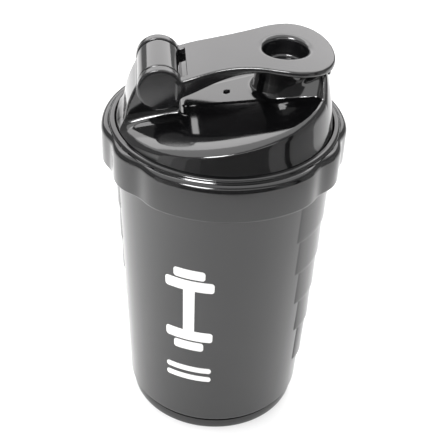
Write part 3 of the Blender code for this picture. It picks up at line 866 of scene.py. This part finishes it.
def above_arm(x, z):
    """Distance over the arm's arched top, negative below it."""
    bend = 2 * ARM_ARCH * (x - ARM_TOP_X)
    top = ARM_TOP_Z - ARM_ARCH * (x - ARM_TOP_X) ** 2
    return (z - top) / np.sqrt(1.0 + bend ** 2)


def arm_plate(x, y, z):
    """The arched plate with its side skirts, which are deepest at the ears and fade out."""
    edge = outline_distance(x, y)
    above = above_arm(x, z)
    skirt = (ARM_SKIRT - ARM_THICK) * (1.0 - smooth(ARM_START_X, ARM_SKIRT_END_X, x))
    depth = ARM_THICK + skirt * smooth(-ARM_SKIRT_WALL - ARM_SKIRT_STEP, -ARM_SKIRT_WALL, edge)
    plate = blend_max(blend_max(above, edge, ARM_EDGE), -above - depth, ARM_UNDER_EDGE)
    return np.maximum(plate, ARM_START_X + 1.0 - x)


def with_ears(plate, x, y, z):
    """Adds the two ears and cuts the slot for the barrel between them."""
    hinge_r = np.hypot(x - HINGE_X, z - HINGE_Z)
    ear_side = np.maximum(np.abs(y) - EAR_OUT, EAR_IN - np.abs(y))
    solid = blend_min(plate, blend_max(hinge_r - EAR_R, ear_side, EAR_ROUND), EAR_FILLET)
    slot = np.maximum(hinge_r - SLOT_R, np.abs(y) - EAR_IN)
    return blend_max(solid, -slot, SLOT_ROUND)


def with_plug(solid, x, y, z):
    """Adds the plug with its seal groove, then hollows it from above behind a rounded lip."""
    above = above_arm(x, z)
    spout_r = np.hypot(x - SPOUT_X, y)
    plug = np.maximum(blend_max(spout_r - PLUG_R, PLUG_BOTTOM_Z - z, PLUG_ROUND), above + PLUG_ROOT)
    groove = np.maximum(SEAL_GROOVE_R - spout_r, np.abs(z - SEAL_Z) - SEAL_GROOVE_HALF)
    plug = blend_max(plug, -groove, SEAL_GROOVE_ROUND)
    solid = blend_min(solid, plug, PLUG_FILLET)
    hollow = blend_max(spout_r - PLUG_BORE_R, PLUG_BORE_Z - z, HOLLOW_ROUND)
    lip = blend_max(above, -hollow, LIP_ROUND)
    return np.maximum(np.maximum(solid, -hollow), np.where(spout_r < LIP_REACH_R, lip, FAR_INSIDE))


def tip_rib(x, y, z):
    """The short rib under the paddle's tip."""
    r = np.hypot(x, y)
    past_end = (np.abs(np.degrees(np.arctan2(y, x))) - RIB_ANGLE) * RIB_MM_PER_DEGREE
    rib = np.maximum(np.maximum(RIB_IN_R - r, r - RIB_OUT_R), past_end)
    return blend_max(rib, np.maximum(RIB_BOTTOM_Z - z, above_arm(x, z) + RIB_ROOT), RIB_ROUND)


def arm_field(x, y, z):
    """Everything of the arm's moulding, less the blind bores for the pin in its ears."""
    solid = with_ears(arm_plate(x, y, z), x, y, z)
    solid = with_plug(solid, x, y, z)
    solid = blend_min(solid, tip_rib(x, y, z), RIB_FILLET)
    ear_bore = np.maximum(np.hypot(x - HINGE_X, z - HINGE_Z) - PIN_BORE_R, np.abs(y) - PIN_HALF - GAP)
    return np.maximum(solid, -ear_bore)


def make_arm(finish):
    points, faces = net(arm_field, ARM_LOW, ARM_HIGH, ARM_STEP)
    add_mesh("arm_shell", points, faces, finish, "arm", ("flip_arm",), sharp=50.0)


# ---------------------------------------------------------------- stage

CAMERA_AT = (-37.58, -383.26, 374.4)
CAMERA_ELEVATION = 36.73
CAMERA_AZIMUTH = -5.6
CAMERA_ROLL = 2.75
CAMERA_LENS = 89.56
CAMERA_SHIFT = 0.010

# The room, in metres; the cards are marked by angles left and right of the camera, in degrees
FLOOR_HALF = 4.0
WORLD_STRENGTH = 0.44
CARD_R = 0.34
CARD_TOP = 0.3
CARD_EDGES = (-62.0, -48.0, -34.0, -20.0, 44.0, 61.0, 67.0, 100.0)
CARD_TONES = (0.62, 0.42, 0.24, 0.13, 0.36, 0.03, 0.36)
AIM = (0.0, 0.0, 0.10)
LIGHTS = {
    "back_panel": {"place": (0.0, 1.0, 0.85), "target": AIM, "size": (1.8, 1.0), "power": 12.5,
                   "colour": (1.0, 0.985, 0.99)},
    "top_panel": {"place": (0.0, 0.35, 1.25), "target": (0.0, 0.1, 0.0), "size": (2.2, 1.5), "power": 14.0},
    "front_panel": {"place": (0.1, -1.0, 0.85), "target": AIM, "size": (1.6, 0.5), "power": 3.0,
                    "shadow": False},
    "key_lamp": {"place": (-0.38, -0.62, 1.0), "target": AIM, "size": (0.38, 0.28), "power": 9.0,
                 "shadow": False},
    "left_fill": {"place": (-0.44, -0.02, 0.24), "target": (-0.2, -0.05, 0.0), "size": (0.3, 0.3),
                  "power": 0.9, "mirrored": False, "shadow": False},
}
CAD_FINISHES = {"hinge_pin": "inner", "mixing_grid": "inner", "lid_gasket": "rubber", "plug_seal": "rubber"}


def make_camera():
    data = bpy.data.cameras.new("camera")
    data.lens = CAMERA_LENS
    data.sensor_width = 36.0
    data.shift_x = CAMERA_SHIFT
    data.clip_start = 0.01
    camera = bpy.data.objects.new("camera", data)
    bpy.context.scene.collection.objects.link(camera)
    turn = (Matrix.Rotation(math.radians(CAMERA_AZIMUTH), 4, "Z")
            @ Matrix.Rotation(math.radians(90.0 - CAMERA_ELEVATION), 4, "X")
            @ Matrix.Rotation(math.radians(CAMERA_ROLL), 4, "Z"))
    camera.matrix_world = Matrix.Translation([v * MM for v in CAMERA_AT]) @ turn
    bpy.context.scene.camera = camera


def floor_material():
    """White card with a very faint unevenness."""
    made, tree, shader = shader_nodes("floor_white")
    place = tree.nodes.new("ShaderNodeTexCoord")
    tone = ramp(tree, noise(tree, place, 3.0), 0.3, 0.7, (0.86, 0.86, 0.86), (0.90, 0.90, 0.90))
    link(tree, tone, "Color", shader, "Base Color")
    shader.inputs["Roughness"].default_value = 0.6
    return made


def make_floor():
    mesh = bpy.data.meshes.new("floor")
    corners = [(x * FLOOR_HALF, y * FLOOR_HALF, 0) for x, y in ((-1, -1), (1, -1), (1, 1), (-1, 1))]
    mesh.from_pydata(corners, [], [(0, 1, 2, 3)])
    mesh.materials.append(floor_material())
    floor = bpy.data.objects.new("floor", mesh)
    bpy.context.scene.collection.objects.link(floor)


def soft_light(name, place, target, size, power, colour=(1.0, 1.0, 1.0), mirrored=True, shadow=True):
    """An area light; one that isn't mirrored doesn't show in the gloss."""
    data = bpy.data.lights.new(name, "AREA")
    data.shape = "RECTANGLE"
    data.size, data.size_y = size
    data.energy = power
    data.color = colour
    light = bpy.data.objects.new(name, data)
    light.location = place
    light.rotation_euler = (Vector(target) - Vector(place)).to_track_quat("-Z", "Y").to_euler()
    light.visible_camera = False
    light.visible_glossy = mirrored
    data.use_shadow = shadow
    bpy.context.scene.collection.objects.link(light)


def make_world():
    world = bpy.data.worlds.new("studio")
    bpy.context.scene.world = world
    world.use_nodes = True
    backdrop = world.node_tree.nodes["Background"]
    backdrop.inputs["Color"].default_value = (1.0, 1.0, 1.0, 1.0)
    backdrop.inputs["Strength"].default_value = WORLD_STRENGTH


def make_cards():
    """The unlit side of the room in front of the bottle, which only its reflections show."""
    turn = Matrix.Rotation(math.radians(CAMERA_AZIMUTH), 4, "Z")
    for number, tone in enumerate(CARD_TONES):
        name = f"room_card_{number}"
        made, _, shader = shader_nodes(name)
        shader.inputs["Base Color"].default_value = (tone, tone, tone, 1.0)
        shader.inputs["Roughness"].default_value = 0.9
        shader.inputs["Specular IOR Level"].default_value = 0.0
        edges = [math.radians(edge) for edge in CARD_EDGES[number:number + 2]]
        left, right = [(CARD_R * math.sin(edge), -CARD_R * math.cos(edge)) for edge in edges]
        corners = ((*left, 0.0), (*right, 0.0), (*right, CARD_TOP), (*left, CARD_TOP))
        mesh = bpy.data.meshes.new(name)
        mesh.from_pydata([turn @ Vector(corner) for corner in corners], [], [(0, 1, 2, 3)])
        mesh.materials.append(made)
        card = bpy.data.objects.new(name, mesh)
        card.visible_camera = False
        bpy.context.scene.collection.objects.link(card)


def make_light():
    make_world()
    make_cards()
    for name, spec in LIGHTS.items():
        soft_light(name, **spec)


def finish_cad_nodes(materials):
    """The nodes that no finer surface replaces keep their CAD shape and get a material."""
    for node, finish in CAD_FINISHES.items():
        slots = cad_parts[node].data.materials
        slots.clear()
        slots.append(materials[finish])


materials = make_materials()
make_cup(materials["cup"])
make_print(materials["print"])
make_collar(materials["collar"])
make_dome(materials["lid"])
make_arm(materials["arm"])
finish_cad_nodes(materials)
make_camera()
make_floor()
make_light()
bpy.context.scene.view_settings.view_transform = "Standard"
